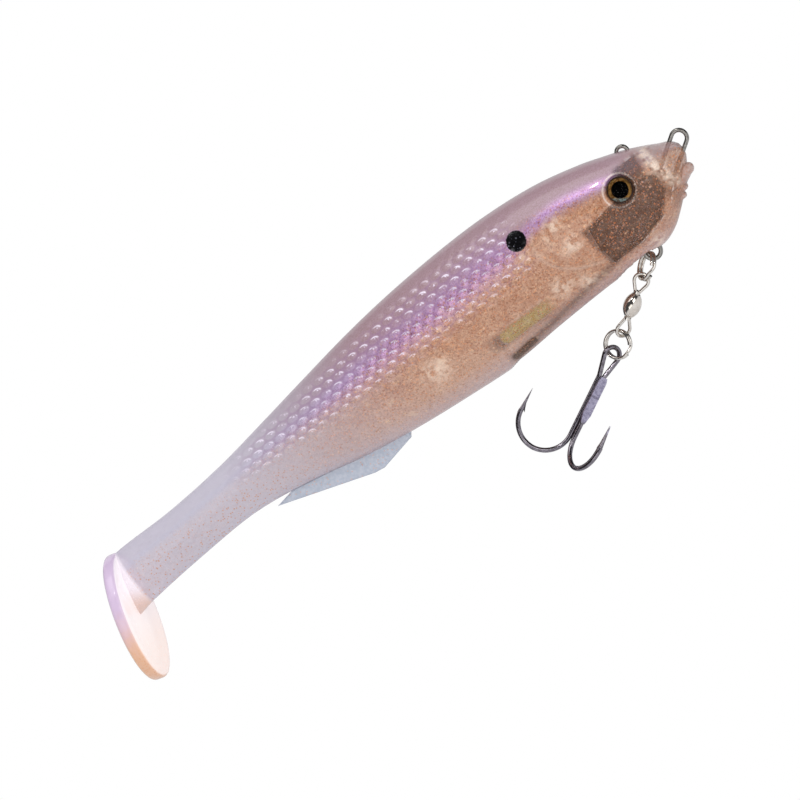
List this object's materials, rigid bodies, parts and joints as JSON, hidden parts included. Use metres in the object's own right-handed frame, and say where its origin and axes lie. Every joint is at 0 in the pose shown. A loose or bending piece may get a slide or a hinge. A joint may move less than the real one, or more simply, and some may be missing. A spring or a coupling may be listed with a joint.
{
  "type": "swimbait",
  "caption": "Soft paddle-tail swimbait with a cast weight inside, wire line ties, domed eyes and a belly treble hung on split rings and a barrel swivel.",
  "frame": {"origin": "centre of the nose line tie's loop, where the fishing line pulls", "axes": "+X towards the nose along the fish, +Z towards its back, +Y to its left side"},
  "size_m": [0.1567, 0.0266, 0.0527],
  "materials": {
    "soft_plastic": "glossy translucent soft plastic with glitter, peach belly and mauve back",
    "cast_weight": "dull cast metal",
    "stainless_wire": "drawn wire",
    "eye_foil": "gold foil",
    "eye_black": "gloss black",
    "eye_lens": "clear dome",
    "tinted_tube": "yellow-green tint",
    "magnet_steel": "plated",
    "bright_nickel": "bright nickel plate",
    "swivel_nickel": "satin nickel plate",
    "black_nickel": "black nickel plate",
    "braze": "braze metal under black nickel"
  },
  "bodies": {
    "body": {"soft_body": "soft_plastic", "head_weight": "cast_weight", "nose_line_tie": "stainless_wire", "top_line_tie": "stainless_wire", "hook_hanger": "stainless_wire", "left_eye_iris": "eye_foil", "left_eye_pupil": "eye_black", "left_eye_dome": "eye_lens", "right_eye_iris": "eye_foil", "right_eye_pupil": "eye_black", "right_eye_dome": "eye_lens", "keeper_capsule": "tinted_tube", "capsule_plug": "tinted_tube", "keeper_magnet": "magnet_steel"},
    "tail": {"soft_tail": "soft_plastic"},
    "front_ring": {"front_split_ring": "bright_nickel"},
    "swivel_front": {"swivel_upper_eye": "bright_nickel"},
    "barrel": {"swivel_barrel": "swivel_nickel"},
    "swivel_rear": {"swivel_lower_eye": "bright_nickel"},
    "rear_ring": {"rear_split_ring": "bright_nickel"},
    "treble": {"treble_double_hook": "black_nickel", "treble_single_hook": "black_nickel", "treble_solder": "braze"}
  },
  "joints": [
    {"name": "tail_wag", "type": "hinge", "parent": "body", "child": "tail", "pos_m": [-0.113, 0, -0.0033], "axis": [0, 0, 1], "range_deg": [-30, 30], "stiffness_Nm_per_rad": 0.004},
    {"name": "front_ring_swing", "type": "hinge", "parent": "body", "child": "front_ring", "pos_m": [-0.0184, 0, -0.0148], "axis": [0, 1, 0], "range_deg": [-90, 3]},
    {"name": "swivel_swing", "type": "hinge", "parent": "front_ring", "child": "swivel_front", "pos_m": [-0.02401, 0, -0.01831], "axis": [0, 1, 0], "range_deg": [-40, 3]},
    {"name": "barrel_spin", "type": "hinge", "parent": "swivel_front", "child": "barrel", "pos_m": [-0.02652, 0, -0.01987], "axis": [-0.848, 0, -0.5299], "continuous": true},
    {"name": "rear_eye_spin", "type": "hinge", "parent": "barrel", "child": "swivel_rear", "pos_m": [-0.03309, 0, -0.02398], "axis": [-0.848, 0, -0.5299], "continuous": true},
    {"name": "rear_ring_swing", "type": "hinge", "parent": "swivel_rear", "child": "rear_ring", "pos_m": [-0.03309, 0, -0.02398], "axis": [0.3406, -0.766, -0.5451], "range_deg": [-30, 45]},
    {"name": "treble_swing", "type": "hinge", "parent": "rear_ring", "child": "treble", "pos_m": [-0.03584, 0, -0.0257], "axis": [-0.1812, -0.9397, 0.29], "range_deg": [-15, 60]}
  ]
}
